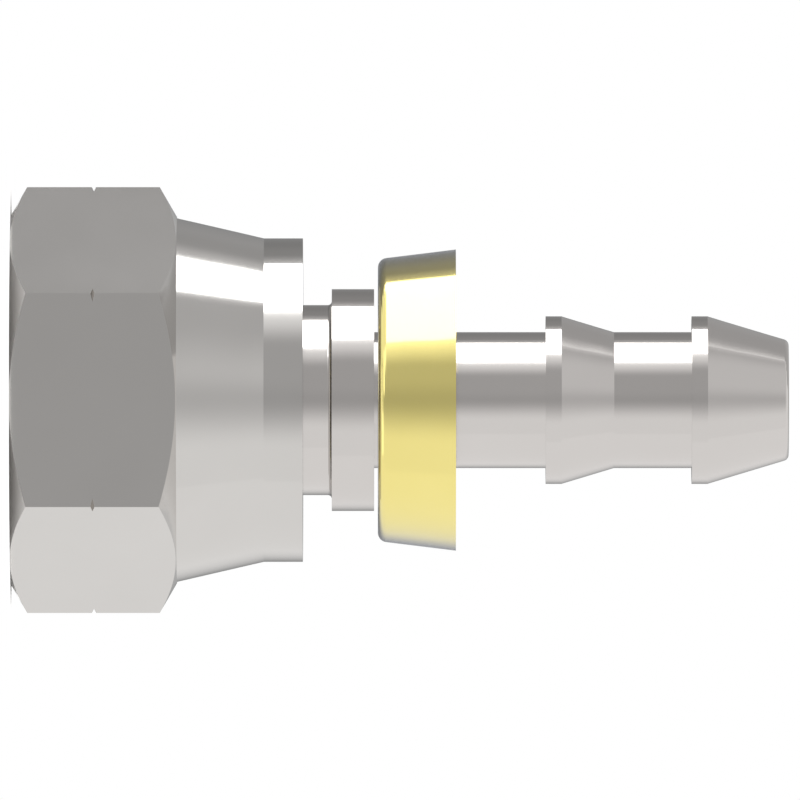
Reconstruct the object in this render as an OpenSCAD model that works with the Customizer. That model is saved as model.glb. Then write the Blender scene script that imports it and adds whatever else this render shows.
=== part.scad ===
// Push-on hose fitting: a barbed nipple with a swivel nut on its head and a cap ring on its shank
// It stands on the nut's front face, and Z runs up its axis towards the hose end

/* [Swivel nut] */
// Width of the hexagon across its flats
hex_flats = 17.46; // [16.4:0.02:20]
// Length of the hexagon
hex_length = 7.86; // [6.4:0.02:10]
// Angle of the corner chamfers to the hexagon's end faces
corner_chamfer = 30; // [15:1:40]
// Distance from the flats out to the circle where the front chamfer starts
chamfer_margin = 0.02; // [0.02:0.01:0.3]
// Width of the V-groove round the corners
groove_width = 0.2; // [0.1:0.01:0.4]
// Depth of the V-groove
groove_depth = 0.2; // [0.15:0.01:0.5]
// Step from the flats in to the root of the tail
tail_step = 0.12; // [0.06:0.01:0.5]
// Width of the flat rim between the root of the tail and the back chamfer
back_rim = 0.06; // [0.02:0.01:0.3]
// Length of the cone that is crimped down behind the hexagon
crimp_length = 4.12; // [3:0.02:6]
// Angle of the crimped cone to the axis
crimp_angle = 13; // [8:0.5:17]
// Length of the straight end of the tail
tail_length = 1.84; // [1:0.02:4]

/* [Threaded socket] */
// Diameter of the threaded wall, at the roots of the thread
thread_d = 14.288; // [13.6:0.001:15.2]
// Length of the threaded wall
thread_length = 7; // [5:0.1:8.5]
// Chamfer at the mouth of the socket
mouth_chamfer = 0.36; // [0.2:0.02:0.8]
// Step from the threaded wall in to the pocket round the nipple's head
pocket_step = 0.69; // [0.4:0.01:1]

/* [Nipple head] */
// Distance from the end of the threaded wall back to the head
head_setback = 0.39; // [0.2:0.01:1]
// Length of the head in front of its back shoulder
head_length = 1.86; // [1.2:0.02:2.6]
// Chamfer on the head's front edge
head_chamfer = 0.15; // [0.05:0.01:0.3]
// Width of the flat rim round the seat, with the chamfer
seat_rim = 0.35; // [0.32:0.01:0.8]
// Angle of the seat's cone to the axis
seat_angle = 37; // [30:1:45]
// Angle of the back shoulder to the axis
shoulder_angle = 45; // [35:1:60]
// Diameter of the bore that the fluid flows through
flow_bore_d = 4.6; // [3.6:0.1:5.2]

/* [Neck and shank] */
// Diameter of the neck that the nut turns on
neck_d = 9; // [8:0.1:10]
// Step from the neck out to the collar
collar_step = 0.75; // [0.4:0.01:1.5]
// Length of the collar
collar_length = 2; // [1.2:0.02:4]
// Radius of the fillet between the neck and the collar
collar_fillet = 0.19; // [0.1:0.01:0.35]
// Diameter of the shank
shank_d = 6.44; // [6:0.02:7.4]

/* [Barbs] */
// Number of barbs
barb_count = 2; // [1:1:4]
// Height of a barb above the shank
barb_height = 0.75; // [0.4:0.01:1.2]
// Length of the land on top of a barb
barb_land = 0.75; // [0.3:0.01:1.5]
// Angle of a barb's slope to the axis
barb_angle = 16.8; // [12:0.1:30]
// Distance from one barb to the next
barb_pitch = 6.91; // [5.5:0.01:9]
// Length of bare shank between the ring and the first barb
bare_length = 4.25; // [2:0.05:8]
// Thickness of the wall at the tip
tip_wall = 0.51; // [0.45:0.01:0.8]
// Radius of the tip's outer edge
tip_round = 0.28; // [0.1:0.01:0.3]
// Chamfer of the bore at the tip
tip_chamfer = 0.12; // [0.05:0.01:0.18]

/* [Cap ring] */
// Diameter of the ring across its open mouth
ring_mouth_d = 14.26; // [13.4:0.02:16]
// Length of the ring
ring_length = 3.69; // [2.4:0.01:6]
// Angle of the ring's skirt to the axis
ring_flare = 7; // [2:0.5:10]
// Thickness of the skirt
skirt_wall = 0.5; // [0.3:0.01:0.8]
// Thickness of the floor
floor_wall = 0.8; // [0.5:0.01:1.4]
// Radius of the outer edge between the floor and the skirt
ring_round = 0.45; // [0.2:0.01:0.48]
// Radius of the inner corner between the floor and the skirt
ring_fillet = 0.2; // [0.1:0.01:0.5]

/* [Fits] */
// Clearance round the nipple's head in the nut's pocket
head_clearance = 0.2; // [0.1:0.01:0.3]
// Gap between the nut's thrust shoulder and the head's back shoulder, square to both
shoulder_gap = 0.15; // [0.1:0.01:0.4]
// Clearance round the neck in the nut's tail
tail_clearance = 0.25; // [0.15:0.01:0.4]
// Distance from the nut's tail to the collar, which is the nut's end play
collar_gap = 1.37; // [0.5:0.01:3]
// Distance from the collar to the ring
ring_gap = 0.18; // [0.1:0.01:1]
// Running clearance of the ring on the shank
ring_clearance = 0.05; // [0.02:0.01:0.09]

/* [Hidden] */
$fn = 96;
hex_sides = 6;
// Number of straight steps in each rounded corner
arc_steps = 10;
// How far a cut runs past the face that it opens
cut_over = 0.5;

// Nut, measured up from its front face
hex_corner_r = hex_flats / 2 / cos(180 / hex_sides);
chamfer_r = hex_flats / 2 + chamfer_margin;
tail_root_r = hex_flats / 2 - tail_step;
tail_r = tail_root_r - crimp_length * tan(crimp_angle);
crimp_end_z = hex_length + crimp_length;
nut_length = crimp_end_z + tail_length;
thread_r = thread_d / 2;
thread_end_z = mouth_chamfer + thread_length;
pocket_r = thread_r - pocket_step;

// Nipple's head, in the nut's pocket
head_r = pocket_r - head_clearance;
head_z = thread_end_z + head_setback;
head_back_z = head_z + head_length;
neck_r = neck_d / 2;
neck_z = head_back_z + (head_r - neck_r) / tan(shoulder_angle);
seat_r = head_r - seat_rim;
flow_r = flow_bore_d / 2;
seat_end_z = head_z + (seat_r - flow_r) / tan(seat_angle);

// Nut's thrust shoulder, parallel to the head's back shoulder
tail_bore_r = neck_r + tail_clearance;
thrust_z = head_back_z + shoulder_gap / sin(shoulder_angle) - head_clearance / tan(shoulder_angle);
thrust_end_z = thrust_z + (pocket_r - tail_bore_r) / tan(shoulder_angle);

// Collar, ring and barbs, each counted from the piece before it
collar_z = nut_length + collar_gap;
collar_r = neck_r + collar_step;
collar_back_z = collar_z + collar_length;
shank_r = shank_d / 2;
ring_z = collar_back_z + ring_gap;
ring_mouth_r = ring_mouth_d / 2;
ring_mouth_z = ring_z + ring_length;
ring_back_r = ring_mouth_r - ring_length * tan(ring_flare);
barb_r = shank_r + barb_height;
barb_z = ring_mouth_z + bare_length;
barb_slope_length = barb_height / tan(barb_angle);
tip_r = flow_r + tip_wall;
last_barb_z = barb_z + (barb_count - 1) * barb_pitch;
tip_z = last_barb_z + barb_land + (barb_r - tip_r) / tan(barb_angle);

// Points of an arc that rounds a corner and touches both of its edges.
// side_a and side_b are unit vectors that leave the corner along those edges.
function arc_in_corner(corner, side_a, side_b, radius) =
    let (
        half_angle = acos(side_a * side_b) / 2,
        bisector = (side_a + side_b) / norm(side_a + side_b),
        centre = corner + bisector * radius / sin(half_angle),
        middle = atan2(-bisector.y, -bisector.x),
        half_sweep = sign(cross(side_a, side_b)) * (90 - half_angle)
    )
    [
        for (step = [0 : arc_steps])
            let (angle = middle + half_sweep * (1 - 2 * step / arc_steps))
            centre + radius * [cos(angle), sin(angle)]
    ];

// Turned profile of the nut's outside. The bar's flats and corners stay where they lie within it.
module turned_outside() {
    stock_r = hex_corner_r + cut_over;
    front_rise = (stock_r - chamfer_r) * tan(corner_chamfer);
    back_chamfer_r = tail_root_r + back_rim;
    back_rise = (stock_r - back_chamfer_r) * tan(corner_chamfer);
    groove_z = hex_length / 2;
    groove_opening = groove_width * (groove_depth + cut_over) / groove_depth;
    rotate_extrude() polygon([
        [0, 0],
        [chamfer_r, 0],
        [stock_r, front_rise],
        [stock_r, groove_z - groove_opening / 2],
        [hex_corner_r - groove_depth, groove_z],
        [stock_r, groove_z + groove_opening / 2],
        [stock_r, hex_length - back_rise],
        [back_chamfer_r, hex_length],
        [tail_root_r, hex_length],
        [tail_r, crimp_end_z],
        [tail_r, nut_length],
        [0, nut_length]
    ]);
}

module nut_socket() {
    rotate_extrude() polygon([
        [0, -cut_over],
        [thread_r + mouth_chamfer, -cut_over],
        [thread_r + mouth_chamfer, 0],
        [thread_r, mouth_chamfer],
        [thread_r, thread_end_z],
        [pocket_r, thread_end_z + pocket_step],
        [pocket_r, thrust_z],
        [tail_bore_r, thrust_end_z],
        [tail_bore_r, nut_length + cut_over],
        [0, nut_length + cut_over]
    ]);
}

module swivel_nut() {
    color([0.78, 0.77, 0.75]) difference() {
        intersection() {
            cylinder(h = nut_length, r = hex_corner_r, $fn = hex_sides);
            turned_outside();
        }
        nut_socket();
    }
}

// One barb, from its sharp back edge to the foot of its slope.
// The last barb slopes down to the tip.
function barb_outline(number) =
    let (z = barb_z + number * barb_pitch)
    [
        [shank_r, z],
        [barb_r, z],
        [barb_r, z + barb_land],
        if (number < barb_count - 1) [shank_r, z + barb_land + barb_slope_length]
    ];

module hose_nipple() {
    head = [
        [seat_r, head_z],
        [head_r - head_chamfer, head_z],
        [head_r, head_z + head_chamfer],
        [head_r, head_back_z],
        [neck_r, neck_z]
    ];
    collar = concat(
        arc_in_corner([neck_r, collar_z], [0, -1], [1, 0], collar_fillet),
        [
            [collar_r, collar_z],
            [collar_r, collar_back_z],
            [shank_r, collar_back_z]
        ]
    );
    barbs = [for (number = [0 : barb_count - 1]) each barb_outline(number)];
    down_slope = [sin(barb_angle), -cos(barb_angle)];
    tip = arc_in_corner([tip_r, tip_z], down_slope, [-1, 0], tip_round);
    flow_passage = [
        [flow_r + tip_chamfer, tip_z],
        [flow_r, tip_z - tip_chamfer],
        [flow_r, seat_end_z]
    ];
    color([0.8, 0.79, 0.77])
        rotate_extrude() polygon(concat(head, collar, barbs, tip, flow_passage));
}

module cap_ring() {
    bore_r = shank_r + ring_clearance;
    up_skirt = [sin(ring_flare), cos(ring_flare)];
    wall_across = skirt_wall / cos(ring_flare);
    floor_z = ring_z + floor_wall;
    inner_r = ring_back_r + floor_wall * tan(ring_flare) - wall_across;
    outside = concat(
        [[bore_r, ring_z]],
        arc_in_corner([ring_back_r, ring_z], [-1, 0], up_skirt, ring_round),
        [[ring_mouth_r, ring_mouth_z]]
    );
    inside = concat(
        [[ring_mouth_r - wall_across, ring_mouth_z]],
        arc_in_corner([inner_r, floor_z], up_skirt, [-1, 0], ring_fillet),
        [[bore_r, floor_z]]
    );
    color([0.88, 0.78, 0.35]) rotate_extrude() polygon(concat(outside, inside));
}

hose_nipple();
swivel_nut();
cap_ring();
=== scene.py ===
import bpy
import numpy as np
from mathutils import Matrix


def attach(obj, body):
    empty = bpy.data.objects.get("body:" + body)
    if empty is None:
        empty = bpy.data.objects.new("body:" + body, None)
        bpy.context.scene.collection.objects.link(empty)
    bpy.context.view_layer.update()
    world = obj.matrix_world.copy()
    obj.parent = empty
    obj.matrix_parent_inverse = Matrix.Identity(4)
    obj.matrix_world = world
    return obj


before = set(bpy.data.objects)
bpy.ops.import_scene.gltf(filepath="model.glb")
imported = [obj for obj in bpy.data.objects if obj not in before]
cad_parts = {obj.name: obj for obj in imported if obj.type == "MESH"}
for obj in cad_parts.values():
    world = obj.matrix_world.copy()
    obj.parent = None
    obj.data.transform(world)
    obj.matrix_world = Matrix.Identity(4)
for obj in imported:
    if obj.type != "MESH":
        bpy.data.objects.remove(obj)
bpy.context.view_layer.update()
scene = bpy.context.scene


# Camera
# It looks square at the fitting from a long way off, through a very long lens, so that nothing tapers.
# It is rolled by a quarter turn, so that the fitting, which stands on its nut, lies along the picture
# with the nut at the left.
CAMERA_DISTANCE = 1.6833
CAMERA_HEIGHT = 0.018417
CAMERA_SIDE = -0.0000028

camera = bpy.data.objects.new("camera", bpy.data.cameras.new("camera"))
camera.data.sensor_width = 36
camera.data.lens = 1600
camera.data.clip_start = 0.1
camera.data.clip_end = 10
camera_right, camera_up, camera_back = (0, 0, 1), (-1, 0, 0), (0, -1, 0)
roll = Matrix((camera_right, camera_up, camera_back)).transposed().to_4x4()
camera.matrix_world = Matrix.Translation((CAMERA_SIDE, -CAMERA_DISTANCE, CAMERA_HEIGHT)) @ roll
scene.collection.objects.link(camera)
scene.camera = camera
scene.view_settings.view_transform = "Standard"


# Room
# An evenly lit white room all round the fitting. Bright metal shows what stands round it, so this
# light is most of what the fitting mirrors.
ROOM_LEVEL = 1.0

world = bpy.data.worlds.new("room")
world.use_nodes = True
room_light = world.node_tree.nodes["Background"]
room_light.inputs["Color"].default_value = (1, 1, 1, 1)
room_light.inputs["Strength"].default_value = ROOM_LEVEL
scene.world = world


# Softbox and cards
# A softbox stands on one side, and a grey card in front and one behind run up to its edges, as they
# do round bright metal in a studio. All three curve round the fitting, and the camera doesn't see them.
# The cards glow themselves and take no light: the grey of each and its patches of light, spill and shade
# are painted into that glow, for the metal to mirror.
CARD_DISTANCE = 1.0
SOFTBOX_LEVEL = 3.5
SOFTBOX_HEIGHTS = (-14.2, 23.3)
SOFTBOX_NEAR_ANGLE = 66.5
SOFTBOX_FAR_ANGLE = 114.6
SOFTBOX_ROUNDED_FROM = 20.5
SOFTBOX_GAP = 0.1
FRONT_CARD_START = -60
FRONT_CARD_HEIGHTS = (-60, 60)
FRONT_CARD_GREY = 0.472
FRONT_CARD_BRIGHTEST = 0.96
BACK_CARD_END = 232
BACK_CARD_HEIGHTS = (-60, 75)
BACK_CARD_GREYS = {-30: 0.2, -6: 0.26, 0: 0.34, 10: 0.44, 16: 0.5, 60: 0.6}


def add_node(tree, kind, sockets=None, **settings):
    """Adds a node. A value in sockets is linked if it is another node's output, and else it is set."""
    made = tree.nodes.new(kind)
    for name, value in settings.items():
        setattr(made, name, value)
    for name, value in (sockets or {}).items():
        if isinstance(value, bpy.types.NodeSocket):
            tree.links.new(value, made.inputs[name])
        else:
            made.inputs[name].default_value = value
    return made


def new_material(name):
    """An empty node material and its output node."""
    material = bpy.data.materials.new(name)
    material.use_nodes = True
    material.node_tree.nodes.clear()
    return material, material.node_tree.nodes.new("ShaderNodeOutputMaterial")


def grid_mesh(name, points, closed=False, cap_first=False, cap_last=False):
    """A mesh on a grid of points of shape (rows, columns, 3), with a quad between each four neighbours.
    A closed one joins the end of each row to its start, and a cap is one face over an end row."""
    rows, columns = points.shape[:2]
    number = np.arange(rows * columns).reshape(rows, columns)
    first, last = number[0, ::-1].tolist(), number[-1].tolist()
    if closed:
        number = np.hstack([number, number[:, :1]])
    quads = np.stack([number[:-1, :-1], number[:-1, 1:], number[1:, 1:], number[1:, :-1]], axis=-1)
    caps = [first] * cap_first + [last] * cap_last
    mesh = bpy.data.meshes.new(name)
    mesh.from_pydata(points.reshape(-1, 3), [], quads.reshape(-1, 4).tolist() + caps)
    mesh.update()
    return mesh


def place(name, mesh, material):
    """Puts a mesh into the scene, with its material."""
    made = bpy.data.objects.new(name, mesh)
    mesh.materials.append(material)
    scene.collection.objects.link(made)
    return made


def smooth_step(value, low, high):
    """0 below low, 1 above high, and 3 t^2 - 2 t^3 between them, where t is the share of the way from
    low to high. With high below low it falls instead."""
    share = np.clip((value - low) / (high - low), 0, 1)
    return share * share * (3 - 2 * share)


card_material, card_output = new_material("card")
card_tree = card_material.node_tree
card_level = add_node(card_tree, "ShaderNodeAttribute", attribute_name="level")
card_light = add_node(
    card_tree, "ShaderNodeEmission", {"Color": (1, 1, 1, 1), "Strength": card_level.outputs["Fac"]}
)
card_tree.links.new(card_light.outputs["Emission"], card_output.inputs["Surface"])


def stand_card(name, heights, start, end, level, rows=49, columns=97):
    """A curved card round the fitting, on a sphere about its middle: direction (angle, height) in
    degrees gives the point distance * (-sin angle cos height, -cos angle cos height, sin height).
    Angle 0 is the camera's side and 90 is -X. The card runs from start to end at each height, and
    level gives how brightly it glows at each point: its painted light and shade."""
    height = np.linspace(heights[0], heights[1], rows)[:, None]
    along = np.linspace(0, 1, columns)[None, :]
    angle = start(height) + (end(height) - start(height)) * along
    height = np.broadcast_to(height, angle.shape)
    a, h = np.radians(angle), np.radians(height)
    points = CARD_DISTANCE * np.stack([-np.sin(a) * np.cos(h), -np.cos(a) * np.cos(h), np.sin(h)], axis=-1)
    points[..., 2] += CAMERA_HEIGHT
    mesh = grid_mesh(name, points)
    levels = np.broadcast_to(level(angle, height), angle.shape).astype(np.float32)
    mesh.attributes.new("level", "FLOAT", "POINT").data.foreach_set("value", levels.ravel())
    card = place(name, mesh, card_material)
    card.visible_camera = False


def softbox_near(height):
    """Angle of the softbox's edge on the camera's side. The box leans, so the edge moves 1.45 degrees
    a degree of height below the middle and 0.5 above it. The square of the height past a limit rounds
    off its top corner."""
    lean = np.where(height < 0, 1.45, 0.5) * height
    corner = np.maximum(height - SOFTBOX_ROUNDED_FROM, 0) ** 2
    return SOFTBOX_NEAR_ANGLE + lean + corner


def softbox_far(height):
    """Angle of the softbox's edge on the far side. It moves 0.3 degrees a degree of height below the
    middle, and above it leans over as height to the power 2.7, by 28.5 degrees at a height of 24."""
    lean_below = 0.3 * np.minimum(height, 0)
    lean_above = 28.5 * (np.maximum(height, 0) / 24) ** 2.7
    return SOFTBOX_FAR_ANGLE + lean_below - lean_above


def beside_softbox(edge, gap):
    """A card's edge a small gap off the softbox's, which goes straight on past its top and bottom."""
    return lambda height: edge(np.clip(height, *SOFTBOX_HEIGHTS)) + gap


def front_level(angle, height):
    """The front card's glow level: its grey plus a smooth step for each patch of painted light on it.
    It is darkest at the camera's height. It fades into the room's level on one side, and has painted
    light, stronger near the softbox, on the other."""
    sideways = 0.035 * smooth_step(angle, 0, 16)
    upwards = 0.07 * smooth_step(height, 0, 22)
    low_corner = 0.06 * smooth_step(angle, 0, 20) * smooth_step(height, -4, -12)
    top = 19.5 + 0.13 * np.maximum(angle, 0)
    top_band = (0.08 + 0.1 * smooth_step(angle, 2, 26)) * smooth_step(height, top - 4, top + 4)
    over_softbox = 0.14 * smooth_step(angle, 77, 85) * smooth_step(height, 23, 25)
    grey = FRONT_CARD_GREY + sideways + upwards + low_corner + top_band + over_softbox
    room = (FRONT_CARD_BRIGHTEST - grey) * smooth_step(angle, 1, -35)
    near = softbox_near(height)
    spill_start = near - 27 - 0.5 * np.minimum(height, 0)
    # Painted spill of light on the card beside the softbox.
    painted_spill = 0.55 * smooth_step(angle, spill_start, near - 3) * smooth_step(height, 18, 0)
    edge = 0.28 * smooth_step(angle, near - 7, near)
    return grey + room + painted_spill + edge


def back_level(angle, height):
    """The back card's glow level: a grey for each height, less a smooth step for each patch of painted
    shade. It fades into the room's level at its far end, and a little painted spill, as from the
    softbox, lies on it at its near end."""
    grey = np.interp(height, list(BACK_CARD_GREYS), list(BACK_CARD_GREYS.values()))
    low_shade = 0.065 * smooth_step(angle, 128, 150) * smooth_step(height, 8, 0)
    high_shade = 0.035 * smooth_step(angle, 148, 128) * smooth_step(height, 4, 12)
    grey = grey - low_shade - high_shade
    room = (1 - grey) * smooth_step(angle, 184, 226)
    far = softbox_far(height)
    # Painted spill of light on the card beside the softbox.
    painted_spill = (0.29 + 0.44 * smooth_step(height, 18, 23.5)) * smooth_step(angle, far + 13, far)
    return grey + room + painted_spill


stand_card("softbox", SOFTBOX_HEIGHTS, softbox_near, softbox_far, lambda angle, height: SOFTBOX_LEVEL)
stand_card(
    "front_card", FRONT_CARD_HEIGHTS, lambda height: FRONT_CARD_START,
    beside_softbox(softbox_near, -SOFTBOX_GAP), front_level
)
stand_card(
    "back_card", BACK_CARD_HEIGHTS, beside_softbox(softbox_far, SOFTBOX_GAP),
    lambda height: BACK_CARD_END, back_level
)


# Floor
# A small round table of white board, which the fitting stands on. It takes the fitting's real shadow.
# A glow, which the camera and all bright metal see, lifts it to the room's white towards its rim, but
# fades out towards the middle: that paints a darker ring of shade round the fitting's foot.
FLOOR_RADIUS = 0.0125
# Inside this radius the board gets no glow: painted shade round the fitting's foot.
FLOOR_PAINTED_SHADE_RADIUS = 0.0090
FLOOR_LIT_RADIUS = 0.0104
FLOOR_COLOUR = (0.92, 0.92, 0.92, 1)
FLOOR_GLOW = 0.5
FLOOR_RINGS = 4
FLOOR_SPOKES = 128


def calculate(tree, operation, *values, **settings):
    """The output of a Math node that works on the values."""
    made = add_node(tree, "ShaderNodeMath", dict(enumerate(values)), operation=operation, **settings)
    return made.outputs[0]


def carry_over(tree, value, source, target):
    """The value, moved from its place in the source range to the same place in the target range."""
    ranges = {"From Min": source[0], "From Max": source[1], "To Min": target[0], "To Max": target[1]}
    return add_node(tree, "ShaderNodeMapRange", {"Value": value, **ranges}).outputs["Result"]


floor_material, floor_output = new_material("white_board")
floor_tree = floor_material.node_tree
board = add_node(floor_tree, "ShaderNodeBsdfDiffuse", {"Color": FLOOR_COLOUR})
ray = add_node(floor_tree, "ShaderNodeLightPath").outputs
seen_or_mirrored = calculate(floor_tree, "ADD", ray["Is Camera Ray"], ray["Is Glossy Ray"])
seen = calculate(floor_tree, "ADD", seen_or_mirrored, ray["Is Transmission Ray"], use_clamp=True)
board_spot = add_node(floor_tree, "ShaderNodeTexCoord").outputs["Object"]
from_middle = add_node(floor_tree, "ShaderNodeVectorMath", {0: board_spot}, operation="LENGTH")
# Painted shade: no glow inside the shade radius, rising to full glow at the lit radius, so the board round
# the nut stays dark in the camera and in the metal.
glow_with_painted_shade = carry_over(
    floor_tree, from_middle.outputs["Value"], (FLOOR_PAINTED_SHADE_RADIUS, FLOOR_LIT_RADIUS), (0, FLOOR_GLOW)
)
glow = calculate(floor_tree, "MULTIPLY", seen, glow_with_painted_shade)
lift = add_node(floor_tree, "ShaderNodeEmission", {"Color": (1, 1, 1, 1), "Strength": glow})
lifted_board = add_node(floor_tree, "ShaderNodeAddShader", {0: board.outputs[0], 1: lift.outputs[0]})
floor_tree.links.new(lifted_board.outputs[0], floor_output.inputs["Surface"])

rings = np.linspace(FLOOR_RADIUS / FLOOR_RINGS, FLOOR_RADIUS, FLOOR_RINGS)[:, None]
around = np.linspace(0, -2 * np.pi, FLOOR_SPOKES, endpoint=False)[None, :]
level_board = np.zeros((FLOOR_RINGS, FLOOR_SPOKES))
floor_points = np.stack([rings * np.cos(around), rings * np.sin(around), level_board], axis=-1)
floor = place("floor", grid_mesh("floor", floor_points, closed=True, cap_first=True), floor_material)


# Hose nipple
# One piece turned from steel bar and plated bright: head and seat, neck, collar, shank and two barbs
# with sharp back edges, bored through for the fluid. Fine rings from turning run round it.
NIPPLE_STEEL = ((0.611, 0.584, 0.565, 1), (0.641, 0.614, 0.595, 1))
TURNING_STRETCH = (90, 90, 9000)
FEED_OVER_FACES = 1.3
CLOUD_SCALE = 260
CLOUD_AND_MARKS = (0.6, 1.4)
STEEL_ROUGHNESS = (0.07, 0.11)
STEEL_MARK_DEPTH = 3e-7


def noise(tree, spot, scale, detail, roughness):
    """Noise about 0.5 at the spot. A scale for each axis stretches it, and is finer where it is larger."""
    if isinstance(scale, tuple):
        spot = add_node(tree, "ShaderNodeMapping", {"Vector": spot, "Scale": scale}).outputs[0]
        scale = 1
    sockets = {"Vector": spot, "Scale": scale, "Detail": detail, "Roughness": roughness}
    return add_node(tree, "ShaderNodeTexNoise", sockets).outputs["Fac"]


def between(tree, share, tones):
    """A colour between the two tones."""
    sockets = {"Factor": share, "A": tones[0], "B": tones[1]}
    return add_node(tree, "ShaderNodeMix", sockets, data_type="RGBA").outputs[2]


def spot_and_radius(tree, where):
    """The spot's x, y and z, and its distance from the axis."""
    spot = add_node(tree, "ShaderNodeSeparateXYZ", {0: where.outputs["Object"]}).outputs
    across = add_node(tree, "ShaderNodeCombineXYZ", {"X": spot["X"], "Y": spot["Y"]})
    radius = add_node(tree, "ShaderNodeVectorMath", {0: across.outputs[0]}, operation="LENGTH")
    return spot, radius.outputs["Value"]


def turning_marks(tree, where):
    """Fine rings round the axis: noise over (x, y, 1.3 r + z), stretched along x and y. The share of
    the radius makes rings on faces square to the axis too."""
    spot, radius = spot_and_radius(tree, where)
    feed = calculate(tree, "MULTIPLY_ADD", radius, FEED_OVER_FACES, spot["Z"])
    path = add_node(tree, "ShaderNodeCombineXYZ", {"X": spot["X"], "Y": spot["Y"], "Z": feed})
    return noise(tree, path.outputs[0], TURNING_STRETCH, detail=3, roughness=0.6)


def plated_steel(name, tones, marks):
    """Bright plated steel. The marks are its relief, and with soft clouds they vary its gloss."""
    material, output = new_material(name)
    tree = material.node_tree
    where = add_node(tree, "ShaderNodeTexCoord")
    lines = marks(tree, where)
    cloud = noise(tree, where.outputs["Object"], CLOUD_SCALE, detail=2, roughness=0.5)
    both = calculate(tree, "ADD", cloud, lines)
    relief = add_node(
        tree, "ShaderNodeBump", {"Height": lines, "Strength": 1.0, "Distance": STEEL_MARK_DEPTH}
    )
    steel = add_node(tree, "ShaderNodeBsdfPrincipled", {
        "Base Color": between(tree, cloud, tones),
        "Metallic": 1.0,
        "Roughness": carry_over(tree, both, CLOUD_AND_MARKS, STEEL_ROUGHNESS),
        "Normal": relief.outputs["Normal"],
    })
    tree.links.new(steel.outputs["BSDF"], output.inputs["Surface"])
    return material


nipple_steel = plated_steel("nipple_steel_plated", NIPPLE_STEEL, turning_marks)
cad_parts["hose_nipple"].data.materials[0] = nipple_steel


# Swivel nut
# One piece of hexagon steel bar, turned behind the hexagon and crimped down round the nipple's neck,
# then plated bright. The hexagon's flats keep fine lines along the bar, from drawing, and all that is
# turned has fine rings round the axis.
NUT_STEEL = ((0.612, 0.594, 0.574, 1), (0.642, 0.624, 0.604, 1))
FLATS_RADIUS = 0.00866
FLATS_SLOPE = 0.3
DRAWING_STRETCH = (7000, 7000, 140)


def drawn_and_turned_marks(tree, where):
    """Turning marks, but draw lines, noise stretched along z, where the bar's own surface is left:
    beyond the flats' radius, on faces that stand along the axis."""
    turned = turning_marks(tree, where)
    drawn = noise(tree, where.outputs["Object"], DRAWING_STRETCH, detail=3, roughness=0.6)
    facing = add_node(tree, "ShaderNodeSeparateXYZ", {0: where.outputs["Normal"]}).outputs
    upright = calculate(tree, "LESS_THAN", calculate(tree, "ABSOLUTE", facing["Z"]), FLATS_SLOPE)
    _, radius = spot_and_radius(tree, where)
    outside = calculate(tree, "GREATER_THAN", radius, FLATS_RADIUS)
    on_flats = calculate(tree, "MULTIPLY", upright, outside)
    chosen = add_node(tree, "ShaderNodeMix", {"Factor": on_flats, "A": turned, "B": drawn})
    return chosen.outputs["Result"]


nut_steel = plated_steel("nut_steel_plated", NUT_STEEL, drawn_and_turned_marks)
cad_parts["swivel_nut"].data.materials[0] = nut_steel


# Thread in the nut
# A right-hand 9/16-18 thread, cut into the nut's socket: one ridge with 30 degree flanks that winds up
# the wall. It starts at the chamfer of the mouth and runs out in front of the nipple's head.
THREAD_PITCH = 0.0254 / 18
THREAD_ROOT_R = 0.007160
THREAD_CREST_R = 0.006380
THREAD_END = 0.00728
THREAD_MOUTH_R = 0.007520
THREAD_FLANK = 30
RUN_OUT_TURNS = 0.6
RUN_OUT_LEAVES = 0.015
APART = 0.02
SHARP_FROM = 25


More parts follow.
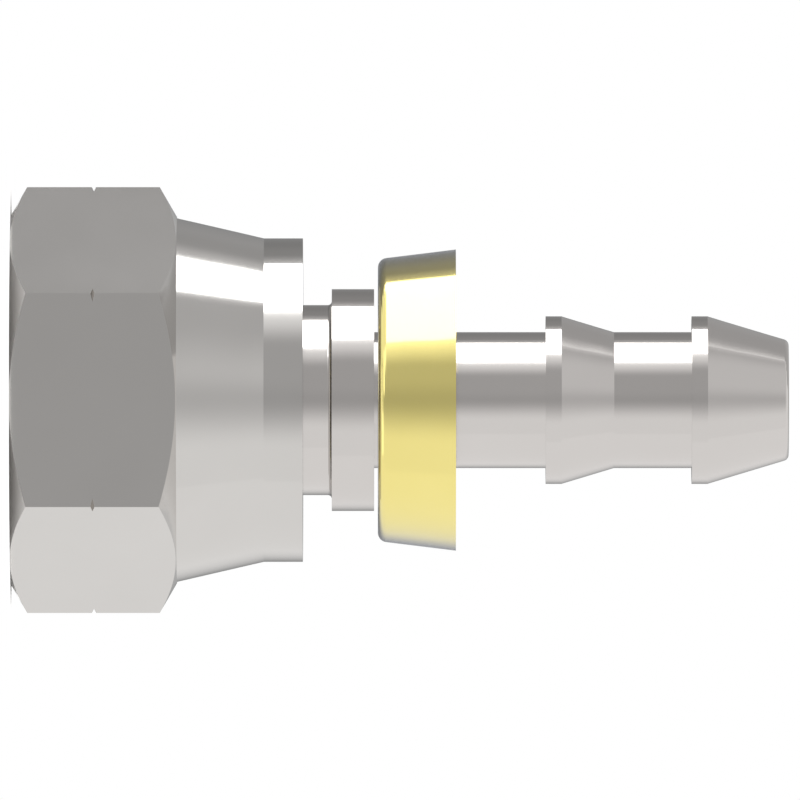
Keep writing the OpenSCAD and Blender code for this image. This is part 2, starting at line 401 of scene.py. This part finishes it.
def thread_ridge(name, steps_per_turn=180):
    """A ridge along a helix: at angle t its middle is at height pitch * t / (2 pi). Its section is a
    trapezoid with 30 degree flanks, pitch / 4 wide at the crest, cut off by the cone of the mouth's
    chamfer, where radius + height = THREAD_MOUTH_R. Its points, from the front: root, the cone's cut
    through the flank, both ends of the crest, root. They keep a little apart, so that no face
    collapses. The crest sinks into the wall at the end."""
    depth = THREAD_ROOT_R - THREAD_CREST_R
    slant = depth * np.tan(np.radians(THREAD_FLANK))
    half_crest = THREAD_PITCH / 8
    half_root = half_crest + slant
    mouth = THREAD_MOUTH_R - THREAD_ROOT_R
    low, high = mouth - (1 - APART) * half_root, THREAD_END - half_root
    turns = (high - low) / THREAD_PITCH
    turn = np.linspace(0, turns, int(turns * steps_per_turn))[:, None]
    middle = low + THREAD_PITCH * turn
    front_share = np.clip((middle - half_root - mouth) / (depth - slant), APART, 1 - APART)
    crest_share = np.clip((middle + half_root - mouth) / (depth + slant), 0, 1)
    front = np.maximum(middle - half_root, mouth)
    crest_front = np.maximum(middle - half_crest, mouth + (1 - APART / 2) * depth * crest_share)
    back = middle + half_root
    height = np.hstack([front, front + slant * front_share, crest_front, back - slant * crest_share, back])
    share = np.hstack([0 * turn, front_share, crest_share, crest_share, 0 * turn])
    run_out = (1 - RUN_OUT_LEAVES) * smooth_step(turn, turns - RUN_OUT_TURNS, turns)
    radius = THREAD_ROOT_R - depth * share * (1 - run_out)
    angle = 2 * np.pi * turn
    points = np.stack([radius * np.cos(angle), radius * np.sin(angle), height], axis=-1)
    mesh = grid_mesh(name, points, closed=True, cap_first=True, cap_last=True)
    mesh.shade_smooth()
    mesh.set_sharp_from_angle(angle=np.radians(SHARP_FROM))
    return mesh


thread = place("nut_thread", thread_ridge("nut_thread"), nut_steel)
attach(thread, "nut")


# Cap ring
# A cup pressed from yellow brass sheet and polished, under a clear film that pales it towards its
# edges. It is loose on the shank, and the hose's cut end goes into it. Faint rings from the press tool
# run round it, and the polish leaves it a little uneven.
RING_BRASS = ((0.85, 0.715, 0.18, 1), (0.89, 0.755, 0.21, 1))
RING_EDGE_TINT = (0.49, 0.53, 0.82, 1)
RING_FILM_TINT = (0.88, 0.92, 0.95, 1)
RING_ROUGHNESS = (0.08, 0.12)
PRESS_STRETCH = (120, 120, 5200)
PRESS_MARK_DEPTH = 6e-7
POLISH_SCALE = 420
POLISH_RANGE = (0.3, 0.7)

brass, brass_output = new_material("ring_brass_polished")
brass_tree = brass.node_tree
brass_spot = add_node(brass_tree, "ShaderNodeTexCoord").outputs["Object"]
press_rings = noise(brass_tree, brass_spot, PRESS_STRETCH, detail=2, roughness=0.5)
patches = noise(brass_tree, brass_spot, POLISH_SCALE, detail=3, roughness=0.5)
brass_relief = add_node(
    brass_tree, "ShaderNodeBump", {"Height": press_rings, "Strength": 1.0, "Distance": PRESS_MARK_DEPTH}
)
brass_shader = add_node(brass_tree, "ShaderNodeBsdfPrincipled", {
    "Base Color": between(brass_tree, patches, RING_BRASS),
    "Metallic": 1.0,
    "Roughness": carry_over(brass_tree, patches, POLISH_RANGE, RING_ROUGHNESS),
    "Normal": brass_relief.outputs["Normal"],
    "Specular Tint": RING_EDGE_TINT,
    "Coat Weight": 1.0,
    "Coat IOR": 1.9,
    "Coat Roughness": 0.06,
    "Sheen Weight": 0.3,
    "Sheen Roughness": 0.5,
    "Sheen Tint": RING_FILM_TINT,
})
brass_tree.links.new(brass_shader.outputs["BSDF"], brass_output.inputs["Surface"])
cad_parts["cap_ring"].data.materials[0] = brass
